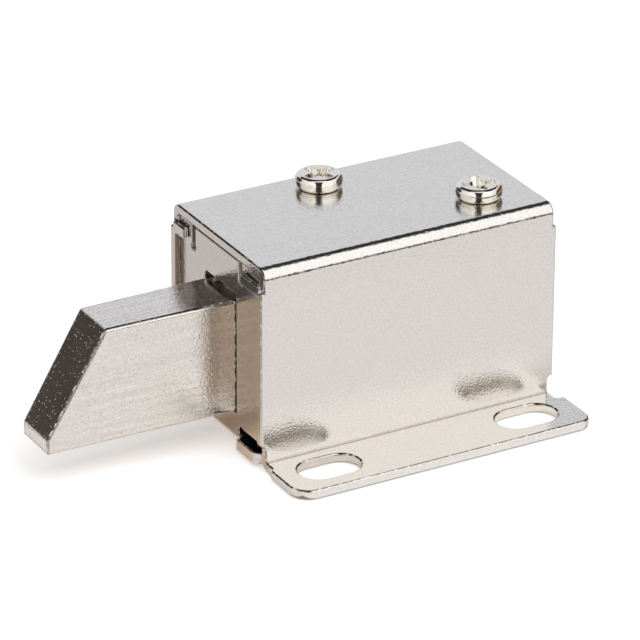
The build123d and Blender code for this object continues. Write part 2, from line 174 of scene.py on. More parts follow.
def make_plated_skin():
    """Group for plated metal: fine grain, slow waves and pits as a height in millimetres, with the plate's
    colour and roughness drifting a little over a few millimetres, and a broken dark line painted along
    rounded edges, a painted reflection of the studio's dark frame."""
    number, colour = "NodeSocketFloat", "NodeSocketColor"
    group = new_group("plated skin", [
        ("Colour", colour, (0.8, 0.8, 0.8, 1)), ("Roughness", number, 0.2), ("Grain Size", number, 0.2),
        ("Grain Depth", number, 0.01), ("Wave Depth", number, 0.04), ("Pit Share", number, 0.02),
        ("Pit Spacing", number, 0.7), ("Pit Depth", number, 0.02), ("Drift", number, 0.1),
        ("Fleck", number, 0.3), ("Edge Dark", number, 0.0),
    ], [("Colour", colour), ("Roughness", number), ("Height", number)])
    given = group.nodes.new("NodeGroupInput").outputs
    in_mm = place_in_mm(group)
    grain = noise(group, in_mm, calculate(group, "DIVIDE", 1.0, given["Grain Size"]), 2.0)
    wave = noise(group, in_mm, waves_per_mm, 1.0)
    drift = noise(group, in_mm, drifts_per_mm, 3.0)
    per_pit = calculate(group, "DIVIDE", 1.0, given["Pit Spacing"])
    pits = add(group, "ShaderNodeTexVoronoi", [("Vector", in_mm), ("Scale", per_pit)])
    chosen = add(group, "ShaderNodeSeparateColor", [("Color", pits.outputs["Color"])]).outputs[0]
    rare = calculate(group, "LESS_THAN", chosen, given["Pit Share"])
    round_pit = spread(group, pits.outputs["Distance"], pit_core, pit_rim, 1.0, 0.0)
    hollow = calculate(group, "MULTIPLY", round_pit, rare)
    height = calculate(group, "MULTIPLY", grain, given["Grain Depth"])
    height = calculate(group, "MULTIPLY_ADD", wave, given["Wave Depth"], height)
    height = calculate(group, "SUBTRACT", height, calculate(group, "MULTIPLY", hollow, given["Pit Depth"]))
    away = calculate(group, "SUBTRACT", drift, 0.5)
    swing = calculate(group, "MULTIPLY_ADD", calculate(group, "MULTIPLY", away, given["Drift"]), 2.0, 1.0)
    rough = calculate(group, "MULTIPLY", given["Roughness"], swing)
    fleck = calculate(group, "SUBTRACT", grain, 0.5)
    shade = calculate(group, "MULTIPLY_ADD", fleck, given["Fleck"], 1.0)
    shade = calculate(group, "MULTIPLY_ADD", hollow, pit_shade, shade)
    shade = calculate(group, "MULTIPLY_ADD", away, drift_shade, shade)
    # Painted reflection: a broken dark line along the roundings that painted_edge_line marks, as strong as
    # Edge Dark says.
    edge = add(group, "ShaderNodeAttribute", attribute_name="painted_edge_line").outputs["Fac"]
    breaks = noise(group, in_mm, breaks_per_mm, 3.0)
    broken = calculate(group, "MULTIPLY", edge, spread(group, breaks, *line_breaks))
    kept = calculate(group, "SUBTRACT", 1.0, calculate(group, "MULTIPLY", broken, given["Edge Dark"]))
    tone = scale(group, given["Colour"], calculate(group, "MULTIPLY", shade, kept))
    add(group, "NodeGroupOutput", [("Colour", tone), ("Roughness", rough), ("Height", height)])
    return group


def make_tool_lines():
    """Group for the lines that drawing, rolling or turning leaves: noise stretched by Stretch, as a height
    in millimetres and as a Shade round 1, which Streak makes stronger."""
    number = "NodeSocketFloat"
    group = new_group("tool lines", [
        ("Stretch", "NodeSocketVector", (0.05, 1, 1)), ("Spacing", number, 0.2), ("Depth", number, 0.0005),
        ("Streak", number, 0.0),
    ], [("Height", number), ("Shade", number)])
    given = group.nodes.new("NodeGroupInput").outputs
    place = add(group, "ShaderNodeTexCoord").outputs["Object"]
    pulled_in_mm = scale(group, combine(group, "MULTIPLY", place, given["Stretch"]), 1 / mm)
    lines = noise(group, pulled_in_mm, calculate(group, "DIVIDE", 1.0, given["Spacing"]), 3.0)
    height = calculate(group, "MULTIPLY", lines, given["Depth"])
    away = calculate(group, "SUBTRACT", lines, 0.5)
    shade = calculate(group, "MULTIPLY_ADD", away, given["Streak"], 1.0)
    add(group, "NodeGroupOutput", [("Height", height), ("Shade", shade)])
    return group


def make_box_mask():
    """Group for a soft-edged box in millimetres: 1 inside and 0 outside, from the least distance to its six
    sides."""
    vector, number = "NodeSocketVector", "NodeSocketFloat"
    group = new_group("box mask", [
        ("Low", vector, (0, 0, 0)), ("High", vector, (1, 1, 1)), ("Blur", number, 0.1)], [("Mask", number)])
    given = group.nodes.new("NodeGroupInput").outputs
    in_mm = place_in_mm(group)
    above = combine(group, "SUBTRACT", in_mm, given["Low"])
    below = combine(group, "SUBTRACT", given["High"], in_mm)
    depth = combine(group, "MINIMUM", above, below)
    parts = add(group, "ShaderNodeSeparateXYZ", [("Vector", depth)]).outputs
    least = calculate(group, "MINIMUM", calculate(group, "MINIMUM", parts["X"], parts["Y"]), parts["Z"])
    add(group, "NodeGroupOutput", [("Mask", spread(group, least, 0.0, given["Blur"]))])
    return group


plated_skin = make_plated_skin()
tool_lines = make_tool_lines()
box_mask = make_box_mask()


def choose(tree, factor, first, second):
    """The first colour where the factor is 0 and the second where it is 1."""
    return add(tree, "ShaderNodeMix", [(0, factor), (6, first), (7, second)], data_type="RGBA").outputs[2]


def place_group(tree, group, **values):
    """A group in a material's tree, with its input values given by name."""
    node = add(tree, "ShaderNodeGroup", node_tree=group)
    for name, value in values.items():
        node.inputs[name.replace("_", " ")].default_value = value
    return node


def new_material(name):
    """A new material, with its node tree and its shader."""
    material = bpy.data.materials.new(name)
    material.use_nodes = True
    return material, material.node_tree, material.node_tree.nodes["Principled BSDF"]


def connect_skin(tree, shader, colour, rough, height):
    """Leads a skin's colour and roughness, and its height as bump, to the shader."""
    bump = add(tree, "ShaderNodeBump", [("Height", height), ("Distance", mm), ("Strength", 1.0)])
    tree.links.new(colour, shader.inputs["Base Color"])
    tree.links.new(rough, shader.inputs["Roughness"])
    tree.links.new(bump.outputs["Normal"], shader.inputs["Normal"])


bend_skin = dict(Stretch=(1, 1, 1), Spacing=0.45, Depth=0.022)


def metal(name, skin, lines=None, coat=0.0, peel=None, zones=()):
    """A metal whose colour, roughness and height come from the plated skin, with tool lines where they are
    given. Inside the box peel its skin is coarse, as on a bend. Each zone (low, high, tint, added roughness)
    changes the skin inside its box."""
    material, tree, shader = new_material(name)
    shader.inputs["Metallic"].default_value = 1.0
    shader.inputs["Coat Weight"].default_value = coat
    surface_skin = place_group(tree, plated_skin, **skin).outputs
    height, colour, rough = surface_skin["Height"], surface_skin["Colour"], surface_skin["Roughness"]
    if lines:
        drawn = place_group(tree, tool_lines, **lines).outputs
        height = calculate(tree, "ADD", height, drawn["Height"])
        colour = scale(tree, colour, drawn["Shade"])
    if peel:
        coarse = place_group(tree, tool_lines, **bend_skin).outputs["Height"]
        on_bend = place_group(tree, box_mask, Low=peel[0], High=peel[1]).outputs["Mask"]
        height = calculate(tree, "MULTIPLY_ADD", coarse, on_bend, height)
    for low, high, tint, blunter in zones:
        inside = place_group(tree, box_mask, Low=low, High=high).outputs["Mask"]
        colour = choose(tree, inside, colour, combine(tree, "MULTIPLY", colour, tint))
        rough = calculate(tree, "MULTIPLY_ADD", inside, blunter, rough)
    connect_skin(tree, shader, colour, rough, height)
    return material


def box_in_mm(node):
    """The lowest and highest corner of a CAD node in millimetres."""
    low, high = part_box(node)
    return np.array(low) / mm, np.array(high) / mm


cover_sheet = 1.2
flange_reach = 8.8
cover_low, cover_high = box_in_mm("cover")
plate_low, plate_high = box_in_mm("base_frame")
near_wall = cover_low[1] + flange_reach

outer_bend = 1.5
bend_margin = 0.2
top_bend = ((cover_low[0], near_wall - bend_margin, cover_high[2] - outer_bend),
            (cover_high[0], near_wall + outer_bend, cover_high[2] + bend_margin))

# The seam beside the front plate is painted brown as shade between the parts, painted shade darkens the
# near wall's foot in its crease, and the slits' cut sides are blunter, with a painted highlight that makes
# them lighter.
zone_margin = 0.1
brown, brown_blunter = (0.5, 0.43, 0.36), 0.2
seam_depth, seam_width, seam_top = 0.65, 0.3, 22.3
foot_shade, foot_shade_blunter = (0.66, 0.61, 0.55), 0.1
foot_depth, foot_height = 0.35, 0.17
cut_highlight_tint, cut_blunter = (1.1, 1.08, 1.05), 0.55
slit_from_near_wall, slit_from_far_wall = 6.8, 5.0
slit_half, slit_bottom = 0.7, 21.3
cut_front, cut_rear = 0.75, 2.3
sheet_zones = [
    # painted shade in the seam between the far wall and the front plate
    ((cover_low[0] - zone_margin, plate_high[1] - zone_margin, 0),
     (plate_low[0] + seam_depth, plate_high[1] + seam_width, seam_top), brown, brown_blunter),
    # painted shade in the crease where the near wall meets the flange
    ((cover_low[0], near_wall - foot_depth, cover_sheet - zone_margin),
     (cover_high[0], near_wall + zone_margin, cover_sheet + foot_height), foot_shade, foot_shade_blunter)]
# The slits' cut sides: blunter as sheared metal, and lighter with a painted highlight.
for y in (near_wall + slit_from_near_wall, cover_high[1] - slit_from_far_wall):
    sheet_zones.append(((plate_low[0] + cut_front, y - slit_half, slit_bottom),
                        (plate_low[0] + cut_rear, y + slit_half, cover_high[2]), cut_highlight_tint, cut_blunter))

# The sheet's rounded edges carry the painted dark reflection line.
nickel_sheet = metal(
    "satin nickel on sheet",
    dict(Colour=(0.81, 0.785, 0.75, 1), Roughness=0.13, Grain_Size=0.3, Grain_Depth=0.028, Wave_Depth=0.05,
         Pit_Share=0.0, Drift=0.15, Fleck=0.3, Edge_Dark=0.95),
    dict(Stretch=(0.12, 1, 1), Spacing=0.3, Depth=0.005), peel=top_bend, zones=sheet_zones)
base_edge_round = 0.6 * sheet_edge_round
base_sheet = joined_copy("base_frame", "folded_base", "case", base_edge_round)
base_sheet.data.materials.append(nickel_sheet)

# Bobbin and its two pins
# A spool moulded in natural nylon, with a lug on its rear flange that holds two square tinned pins, to which
# the ends of the winding are soldered.


def plastic(name, colour, roughness, grain_size, grain_depth, sheen=0.0):
    """A moulded or extruded plastic with a fine texture and a slight drift of its gloss."""
    material, tree, shader = new_material(name)
    shader.inputs["Sheen Weight"].default_value = sheen
    skin = place_group(tree, plated_skin, Colour=colour, Roughness=roughness, Grain_Size=grain_size,
                       Grain_Depth=grain_depth, Wave_Depth=0.002, Pit_Share=0.0, Drift=0.2).outputs
    connect_skin(tree, shader, skin["Colour"], skin["Roughness"], skin["Height"])
    return material


def dress(node, material):
    """Gives a CAD node that keeps its own mesh its material."""
    piece = nodes[node]
    for place in piece.material_slots:
        place.link = "OBJECT"
        place.material = material


natural_nylon = plastic("natural nylon", (0.80, 0.77, 0.68, 1), roughness=0.45, grain_size=0.15,
                        grain_depth=0.002)
tinned_pin = metal("tinned pin", dict(Colour=(0.78, 0.78, 0.76, 1), Roughness=0.3, Grain_Size=0.12,
                                      Grain_Depth=0.002, Wave_Depth=0.01))
dress("bobbin", natural_nylon)
for pin in ("terminal_pin_1", "terminal_pin_2"):
    dress(pin, tinned_pin)

# Winding
# Enamelled copper wire, laid on the bobbin turn beside turn by the winding machine. Only the outer layer
# shows, as a fine screw of round ridges.
wire_pitch = 0.26
steps_per_wire = 6
points_round_coil = 96
meeting_gap = 0.0005


def rings_to_piece(name, grid, body):
    """A mesh from grid[i, j], a row of closed rings in millimetres, with quads from each ring to the next.
    Points that meet, as at a pole, become one, and the faces are then turned outwards."""
    rings, points = grid.shape[:2]
    index = np.arange(rings * points).reshape(rings, points)
    index = np.concatenate([index, index[:, :1]], axis=1)
    quads = np.stack([index[:-1, :-1], index[:-1, 1:], index[1:, 1:], index[1:, :-1]], axis=-1)
    mesh = bpy.data.meshes.new(name)
    mesh.from_pydata((grid.reshape(-1, 3) * mm).tolist(), [], quads.reshape(-1, 4).tolist())
    shape = bmesh.new()
    shape.from_mesh(mesh)
    bmesh.ops.remove_doubles(shape, verts=shape.verts, dist=meeting_gap * mm)
    bmesh.ops.recalc_face_normals(shape, faces=shape.faces)
    shape.to_mesh(mesh)
    shape.free()
    mesh.shade_smooth()
    piece = bpy.data.objects.new(name, mesh)
    bpy.context.scene.collection.objects.link(piece)
    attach(piece, body)
    return piece


def turned_along_x(x, radius, centre):
    """Rings round an axis along X: each point is (x, radius cos a, radius sin a) from the centre, for all
    angles a."""
    around = np.linspace(0, 2 * pi, points_round_coil, endpoint=False)
    x = np.asarray(x, float)[:, None] + 0 * around
    radius = np.asarray(radius, float)[:, None] + 0 * around
    return np.stack([x, centre[0] + radius * np.cos(around), centre[1] + radius * np.sin(around)], axis=-1)


coil_low, coil_high = box_in_mm("coil_winding")
coil_centre = (coil_low + coil_high)[1:] / 2
coil_radius = (coil_high - coil_low)[2] / 2
core_radius = 5.4


def winding_rings():
    """Radius = coil radius - dip, where dip follows |sin| along x with the pitch of the wire, and the phase
    advances once round the coil, so that the ridges form one screw. The ends close down to the core."""
    around = np.linspace(0, 2 * pi, points_round_coil, endpoint=False)
    rows = int((coil_high[0] - coil_low[0]) / wire_pitch) * steps_per_wire
    x = np.linspace(coil_low[0], coil_high[0], rows)[:, None]
    ridge = np.abs(np.sin(pi * (x / wire_pitch) - around / 2))
    radius = coil_radius - wire_pitch / 2 * (1 - ridge)
    body = np.stack([x + 0 * around, coil_centre[0] + radius * np.cos(around),
                     coil_centre[1] + radius * np.sin(around)], axis=-1)
    front = turned_along_x([coil_low[0]], [core_radius], coil_centre)
    rear = turned_along_x([coil_high[0]], [core_radius], coil_centre)
    return np.concatenate([front, body, rear, front])


winding = rings_to_piece("copper_turns", winding_rings(), "case")
winding.data.materials.append(metal(
    "enamelled copper",
    dict(Colour=(0.62, 0.26, 0.12, 1), Roughness=0.28, Grain_Size=0.3, Grain_Depth=0.001, Wave_Depth=0.002),
    coat=0.6))
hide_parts("coil_winding")

# Coil tape
# Clear yellow polyester film, wrapped a little over one turn round the winding, so that its end laps over.
film_lap = radians(50)
film_step = 0.05
film_thickness = 0.18
tape_low, tape_high = box_in_mm("coil_tape")
tape_radius = (tape_high - tape_low)[2] / 2


def tape_rings():
    """A closed band: outer radius = tape radius, less one film step outside the lap, and the inner radius
    is smaller by the film's thickness."""
    around = np.linspace(0, 2 * pi, points_round_coil, endpoint=False)
    outer = np.where(around < film_lap, tape_radius, tape_radius - film_step)
    inner = np.full_like(around, tape_radius - film_thickness)
    corners = [(tape_low[0], inner), (tape_low[0], outer), (tape_high[0], outer), (tape_high[0], inner),
               (tape_low[0], inner)]
    return np.stack([np.stack([np.full_like(around, x), coil_centre[0] + radius * np.cos(around),
                               coil_centre[1] + radius * np.sin(around)], axis=-1) for x, radius in corners])


tape = rings_to_piece("tape_wrap", tape_rings(), "case")
tape.data.materials.append(plastic("yellow polyester film", (0.80, 0.58, 0.08, 1), roughness=0.2,
                                   grain_size=0.6, grain_depth=0.002))
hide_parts("coil_tape")

# Plunger sleeve, pole piece and shim
# The plunger slides in a thin drawn brass tube. A turned soft iron core is staked into the yoke behind it,
# and a brass ring on its face keeps the plunger from sticking.
drawn_brass = metal(
    "drawn brass",
    dict(Colour=(0.78, 0.57, 0.26, 1), Roughness=0.22, Grain_Size=0.2, Grain_Depth=0.0005, Wave_Depth=0.002),
    dict(Stretch=(0.05, 1, 1), Spacing=0.12, Depth=0.001))
turned_iron = metal(
    "turned soft iron",
    dict(Colour=(0.60, 0.59, 0.57, 1), Roughness=0.3, Grain_Size=0.2, Grain_Depth=0.0008, Wave_Depth=0.003),
    dict(Stretch=(1, 0.06, 0.06), Spacing=0.12, Depth=0.0015))
dress("plunger_sleeve", drawn_brass)
dress("pole_shim", drawn_brass)
dress("pole_piece", turned_iron)

# Coil yoke and bush
# A strip of zinc plated steel folded into a U round the coil, with two tapped collars for the cover's screws
# and a turned collar in its front leg.
zinc_plate = metal(
    "zinc plate",
    dict(Colour=(0.66, 0.69, 0.73, 1), Roughness=0.32, Grain_Size=0.35, Grain_Depth=0.0015, Wave_Depth=0.006,
         Pit_Share=0.05, Drift=0.25))
yoke = joined_copy("coil_yoke", "yoke_strip", "case", sheet_edge_round)
yoke.data.materials.append(zinc_plate)
dress("yoke_bush", zinc_plate)

# Plunger and cross pin
# Turned from soft iron, with a flat milled at its front end, which a steel pin joins to the bolt.
drawn_steel = metal(
    "bright drawn steel",
    dict(Colour=(0.56, 0.56, 0.55, 1), Roughness=0.2, Grain_Size=0.15, Grain_Depth=0.0005, Wave_Depth=0.001),
    dict(Stretch=(1, 0.05, 1), Spacing=0.1, Depth=0.0008))
dress("plunger", turned_iron)
dress("cross_pin", drawn_steel)

# Return spring and its seat
# Cold wound round wire, wider at the yoke, with its end turns laid flat. The real spring flattens as the bolt
# goes in; this one keeps one length.
spring_wire = 0.6
spring_turns = 4.5
points_a_turn = 48
points_round_wire = 12
end_turn_ease = 0.7
spring_low, spring_high = box_in_mm("return_spring")
spring_large = (spring_high - spring_low)[2] / 2 - spring_wire / 2
spring_small = 4.73


def spring_rings():
    """Rings of wire along a conical screw: x = share of the way, less ease * sin(2 pi share) / 2 pi, so that
    the end turns lie flat, and the radius grows evenly. Each ring lies across the path, spanned by the
    radial and the near-axial direction."""
    share = np.linspace(0, 1, int(spring_turns * points_a_turn))
    turned = 2 * pi * spring_turns * share
    eased = share - np.sin(2 * pi * share) / (2 * pi) * end_turn_ease
    start = spring_low[0] + spring_wire / 2
    length = spring_high[0] - spring_low[0] - spring_wire
    radius = spring_small + (spring_large - spring_small) * share
    radial = np.stack([0 * turned, np.cos(turned), np.sin(turned)], axis=-1)
    centre = np.array([0, coil_centre[0], coil_centre[1]])
    path = radial * radius[:, None] + centre
    path[:, 0] = start + length * eased
    tangent = np.gradient(path, axis=0)
    tangent /= np.linalg.norm(tangent, axis=1, keepdims=True)
    across = np.cross(tangent, radial)
    around = np.linspace(0, 2 * pi, points_round_wire, endpoint=False)[None, :, None]
    ring = np.cos(around) * radial[:, None] + np.sin(around) * across[:, None]
    grid = path[:, None] + spring_wire / 2 * ring
    ends = [np.repeat(path[end][None, None], points_round_wire, axis=1) for end in (0, -1)]
    return np.concatenate([ends[0], grid, ends[1]])


spring = rings_to_piece("spring_coil", spring_rings(), "case")
spring.data.materials.append(drawn_steel)
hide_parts("return_spring")
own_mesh(spring)
dress("spring_seat_washer", drawn_steel)

# Latch bolt
# A zinc die casting with a slanted nose, tumbled and plated with nickel. Its skin is grainier than the
# sheet's, and faint lines of the mould run along it.
cast_edge_round = 0.2
# The casting's rounded edges carry the painted dark reflection line.
nickel_casting = metal(
    "nickel on a casting",
    dict(Colour=(0.83, 0.795, 0.75, 1), Roughness=0.14, Grain_Size=0.26, Grain_Depth=0.026, Wave_Depth=0.08,
         Pit_Share=0.5, Pit_Spacing=0.38, Pit_Depth=0.036, Drift=0.2, Fleck=0.5, Edge_Dark=0.9),
    dict(Stretch=(0.02, 1, 1), Spacing=0.45, Depth=0.018, Streak=0.3))
bolt = joined_copy("latch_bolt", "bolt_casting", "bolt", cast_edge_round, line_above=0.1)
bolt.data.materials.append(nickel_casting)

# Cover
# One sheet of 1.2 mm steel: far wall, top, near wall and the flange with its two slots. It is folded and
# slipped over the base, and the ears of its walls are pressed over the end plates.
cover = joined_copy("cover", "folded_cover", "case", sheet_edge_round)
cover.data.materials.append(nickel_sheet)

# Cover screws
# Cold headed M3 pan head screws with a cross recess, plated bright. They pull the yoke up against the cover.
thread_pitch = 0.5
thread_depth = 0.3
thread_fade = 0.5
crest_share = 0.1
shank_radius = 1.5
tip_height, tip_taper = 0.3, 0.1
thread_end, neck_start = -0.4, -0.35
points_round_screw = 192
steps_a_thread = 10
upper_round = 0.75
lower_round = 0.7
flat_steps = (0.02, 0.5, 0.9)
recess_arm_angle = radians(16.5)
corner_power = 7.0
least_sine = 0.02
rim_reach = 1.95

# Steps down into the recess: how far the rim is widened, or how far the arms reach, and the depth there.
rim_steps = ((0.05, 0.0), (0.015, 0.012), (0.0, 0.05))
recess_steps = ((1.8, 0.45), (1.45, 0.85), (1.25, 1.0), (1.0, 1.07), (0.4, 1.15))
recess_depth = 1.2
screw_turns = {"cover_screw_front": 16, "cover_screw_rear": -13}


def cross_outline(around, reach):
    """A plus seen from above, as a radius for each angle: the arm's end, reach / cos a, or the arm's side,
    half width / sin a, whichever is nearer, blended so that the ends are round."""
    from_arm = np.abs((around + pi / 4) % (pi / 2) - pi / 4)
    end = reach / np.cos(from_arm)
    side = reach * np.tan(recess_arm_angle) / np.maximum(np.sin(from_arm), least_sine)
    return (end ** -corner_power + side ** -corner_power) ** (-1 / corner_power)


def screw_rings(low, high, turn):
    """Rings from the tip up: cone, thread, shank, head and the cross recess. The thread's radius is
    radius - depth * |saw(z / pitch - a / 2 pi)|, and the recess is a stack of shrinking plus outlines."""
    centre = (low + high) / 2
    head = (high - low)[0] / 2
    seat = box_in_mm("cover")[1][2]
    tip = low[2] - seat
    top = high[2] - seat
    around = np.linspace(0, 2 * pi, points_round_screw, endpoint=False)
    plain = np.ones_like(around)
    rings = [(0 * plain, tip * plain), ((shank_radius - thread_depth - tip_taper) * plain, tip * plain)]
    for z in np.arange(tip + tip_height, thread_end, thread_pitch / steps_a_thread):
        saw = 2 * np.abs((z / thread_pitch - around / (2 * pi)) % 1 - 0.5)
        fade = min(1.0, (thread_end - z) / thread_fade)
        rings.append((shank_radius - thread_depth * saw * fade - thread_depth * crest_share, z * plain))
    rings += [(shank_radius * plain, neck_start * plain), (shank_radius * plain, 0 * plain)]
    for angle in np.linspace(-pi / 2, 0, 9):
        rings.append(((head - lower_round * (1 - cos(angle))) * plain,
                      lower_round * (1 + sin(angle)) * plain))
    for angle in np.linspace(0, pi / 2, 13):
        rings.append(((head - upper_round * (1 - cos(angle))) * plain,
                      (top - upper_round * (1 - sin(angle))) * plain))
    rim = cross_outline(around, rim_reach)
    flat = head - upper_round
    for share in flat_steps:
        rings.append((flat + (rim - flat) * share, top * plain))
    for wider, drop in rim_steps:
        rings.append((rim + wider, (top - drop) * plain))
    for reach, drop in recess_steps:
        rings.append((cross_outline(around, reach), (top - drop) * plain))
    rings.append((0 * plain, (top - recess_depth) * plain))
    radius = np.stack([ring for ring, _ in rings])
    height = np.stack([z for _, z in rings])
    aim = around + radians(turn)
    return np.stack([centre[0] + radius * np.cos(aim), centre[1] + radius * np.sin(aim), seat + height],
                    axis=-1)


nickel_screw = metal(
    "bright nickel on a screw",
    dict(Colour=(0.88, 0.84, 0.775, 1), Roughness=0.08, Grain_Size=0.25, Grain_Depth=0.001, Wave_Depth=0.03,
         Pit_Share=0.0, Drift=0.2, Fleck=0.1))
for node, turn in screw_turns.items():
    screw = rings_to_piece(node.replace("cover_", "pan_head_"), screw_rings(*box_in_mm(node), turn), "case")
    screw.data.materials.append(nickel_screw)
    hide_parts(node)

# Lead grommet
# A soft black bush snapped into the rear plate's hole, through which the coil is connected. Its two lips
# hold it on the plate.
grommet_low, grommet_high = box_in_mm("lead_grommet")
grommet_centre = (grommet_low + grommet_high)[1:] / 2
grommet_flange = (grommet_high - grommet_low)[1] / 2
grommet_bore = 1.4
grommet_groove = 2.26
lip_reach = 0.7
plate_thickness = 1.5
rear_plate = plate_high[0] - lip_reach


def grommet_rings():
    """The bush's outline turned about its bore: a rounded inner lip, the groove that the plate sits in, a
    domed outer lip and the bore."""
    quarter = np.linspace(0, pi / 2, 9)
    inner = rear_plate - plate_thickness
    dome = [(rear_plate + 0.05 + 0.68 * sin(a), grommet_flange - 0.9 * (1 - cos(a))) for a in quarter]
    inner_lip = [(inner - 0.6, grommet_bore), (inner - 0.7, grommet_bore + 0.15),
                 (inner - 0.65, grommet_flange - 0.3), (inner - 0.4, grommet_flange),
                 (inner - 0.04, grommet_flange)]
    groove = [(inner - 0.04, grommet_groove), (rear_plate + 0.04, grommet_groove),
              (rear_plate + 0.04, grommet_flange)]
    mouth = [(rear_plate + 0.7, grommet_bore + 0.2), (rear_plate + 0.55, grommet_bore),
             (inner - 0.6, grommet_bore)]
    x, radius = np.array(inner_lip + groove + dome + mouth).T
    return turned_along_x(x, radius, grommet_centre)


grommet = rings_to_piece("lead_bush", grommet_rings(), "case")
grommet.data.materials.append(plastic("soft black bush", (0.035, 0.034, 0.033, 1), roughness=0.55,
                                      grain_size=0.2, grain_depth=0.004, sheen=0.1))
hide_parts("lead_grommet")

# Studio
# A pale floor and a light tent: white overhead and in front, grey behind, with the tent's dark frame between
# them, a dark gap at the back left and the camera's dark stand. The camera sees plain white around.
back_grey = (0.76, 0.775, 0.82)
frame_dark = (0.03, 0.03, 0.03)
tent_white = (1.2, 1.19, 1.18)
front_white = (0.93, 0.925, 0.92)

# Places along the tent run from 0.5 at the back horizon over 0.75 at the zenith to 1 at the front, and places
# across it are a direction's X. A spot has its aim, the angles of its core and its edge, and its colour.
white_from = (0.62, 0.70)
soft_box_across, soft_box_from = (-0.85, -0.75, 0.54, 0.64), (0.745, 0.76)
tent_stops = [(0.598, back_grey), (0.608, frame_dark), (0.706, frame_dark), (0.718, tent_white)]
seen_frames = [((-0.4, -0.3, 0.64, 0.74), (0.598, 0.608, 0.706, 0.718)),
               ((0.28, 0.36, 0.54, 0.62), (0.598, 0.608, 0.742, 0.754))]
stand_across, stand_toward = (0.871, -0.491, 0), (-0.491, -0.871, 0)
stand_half, stand_from = (0.19, 0.27), (0.0, 0.2)
dark_gap = ((-0.547, 0.785, 0.291), 17, 25, (0.06, 0.053, 0.046))
dark_side = ((0.984, 0.02, 0.0), 31, 39, (0.12, 0.09, 0.065))


def between(tree, value, low_edge, low, high, high_edge):
    """1 from low to high, falling to 0 at the two edges outside them."""
    rising = spread(tree, value, low_edge, low)
    return calculate(tree, "MULTIPLY", rising, spread(tree, value, high, high_edge, 1.0, 0.0))


def share_along(tree, aim, direction):
    """How far an aim points along a direction, as the cosine of the angle between them."""
    both = add(tree, "ShaderNodeVectorMath", [(0, aim), (1, direction)], operation="DOT_PRODUCT")
    return both.outputs["Value"]


def make_tent():
    """The world by direction: colours over the angle that runs from the back horizon over the zenith to the
    front, and two round dark spots. Reflections see the dark frame only over a stretch of its length, and an
    upright dark band where the camera's stand is. Camera rays see white."""
    world = bpy.data.worlds.new("light tent")
    world.use_nodes = True
    bpy.context.scene.world = world
    tree = world.node_tree
    aim = add(tree, "ShaderNodeTexCoord").outputs["Generated"]
    parts = add(tree, "ShaderNodeSeparateXYZ", [("Vector", aim)]).outputs
    angle = calculate(tree, "ARCTAN2", parts["Z"], parts["Y"])
    along = calculate(tree, "MULTIPLY_ADD", angle, 0.5 / pi, 0.5)
    ramp = add(tree, "ShaderNodeValToRGB", [("Fac", along)])
    stops = ramp.color_ramp.elements
    stops[0].color = (*back_grey, 1)
    stops[1].color = (*tent_white, 1)
    for position, colour in tent_stops:
        stops.new(position).color = (*colour, 1)
    in_soft_box = calculate(tree, "MULTIPLY", between(tree, parts["X"], *soft_box_across),
                            spread(tree, along, *soft_box_from))
    front = choose(tree, in_soft_box, (*front_white, 1), (*tent_white, 1))
    open_tent = choose(tree, spread(tree, along, *white_from), (*back_grey, 1), front)
    rays = add(tree, "ShaderNodeLightPath").outputs
    tent = choose(tree, rays["Is Glossy Ray"], ramp.outputs["Color"], open_tent)
    beside = calculate(tree, "ABSOLUTE", share_along(tree, aim, stand_across))
    dark = calculate(tree, "MULTIPLY", spread(tree, beside, *stand_half, 1.0, 0.0),
                     spread(tree, share_along(tree, aim, stand_toward), *stand_from))
    for sideways, upwards in seen_frames:
        in_frame = calculate(tree, "MULTIPLY", between(tree, parts["X"], *sideways),
                             between(tree, along, *upwards))
        dark = calculate(tree, "MAXIMUM", dark, in_frame)
    tent = choose(tree, calculate(tree, "MULTIPLY", dark, rays["Is Glossy Ray"]), tent, (*frame_dark, 1))
    for spot_aim, core, edge, colour in (dark_gap, dark_side):
        inside = spread(tree, share_along(tree, aim, spot_aim), cos(radians(edge)), cos(radians(core)))
        tent = choose(tree, inside, tent, (*colour, 1))
    shown = choose(tree, rays["Is Camera Ray"], tent, (1, 1, 1, 1))
    tree.links.new(shown, tree.nodes["Background"].inputs["Color"])


make_tent()

floor_colour = (0.90, 0.90, 0.90)
floor_lift = 0.36
floor_half = 1500
floor_drop = 0.15
table_colour = (0.42, 0.33, 0.245)
table_gloss = (0.37, 0.43, 0.50)
table_blur = 0.15


def rectangle(low_x, low_y, high_x, high_y):
    """The four corners of a rectangle, the way round that turns it upwards."""
    return [(low_x, low_y), (high_x, low_y), (high_x, high_y), (low_x, high_y)]


def stage_sheet(name, corners, height, material):
    """A flat sheet of the studio, from its corners (x, y) in millimetres."""
    mesh = bpy.data.meshes.new(name)
    mesh.from_pydata([(x * mm, y * mm, height * mm) for x, y in corners], [], [tuple(range(len(corners)))])
    mesh.materials.append(material)
    sheet = bpy.data.objects.new(name, mesh)
    bpy.context.scene.collection.objects.link(sheet)
    return sheet


def matt_material(name, colour):
    """A new material, fully matt in one colour, with its node tree and its shader."""
    material, tree, shader = new_material(name)
    shader.inputs["Base Color"].default_value = (*colour, 1)
    shader.inputs["Roughness"].default_value = 1.0
    shader.inputs["Specular IOR Level"].default_value = 0.0
    return material, tree, shader


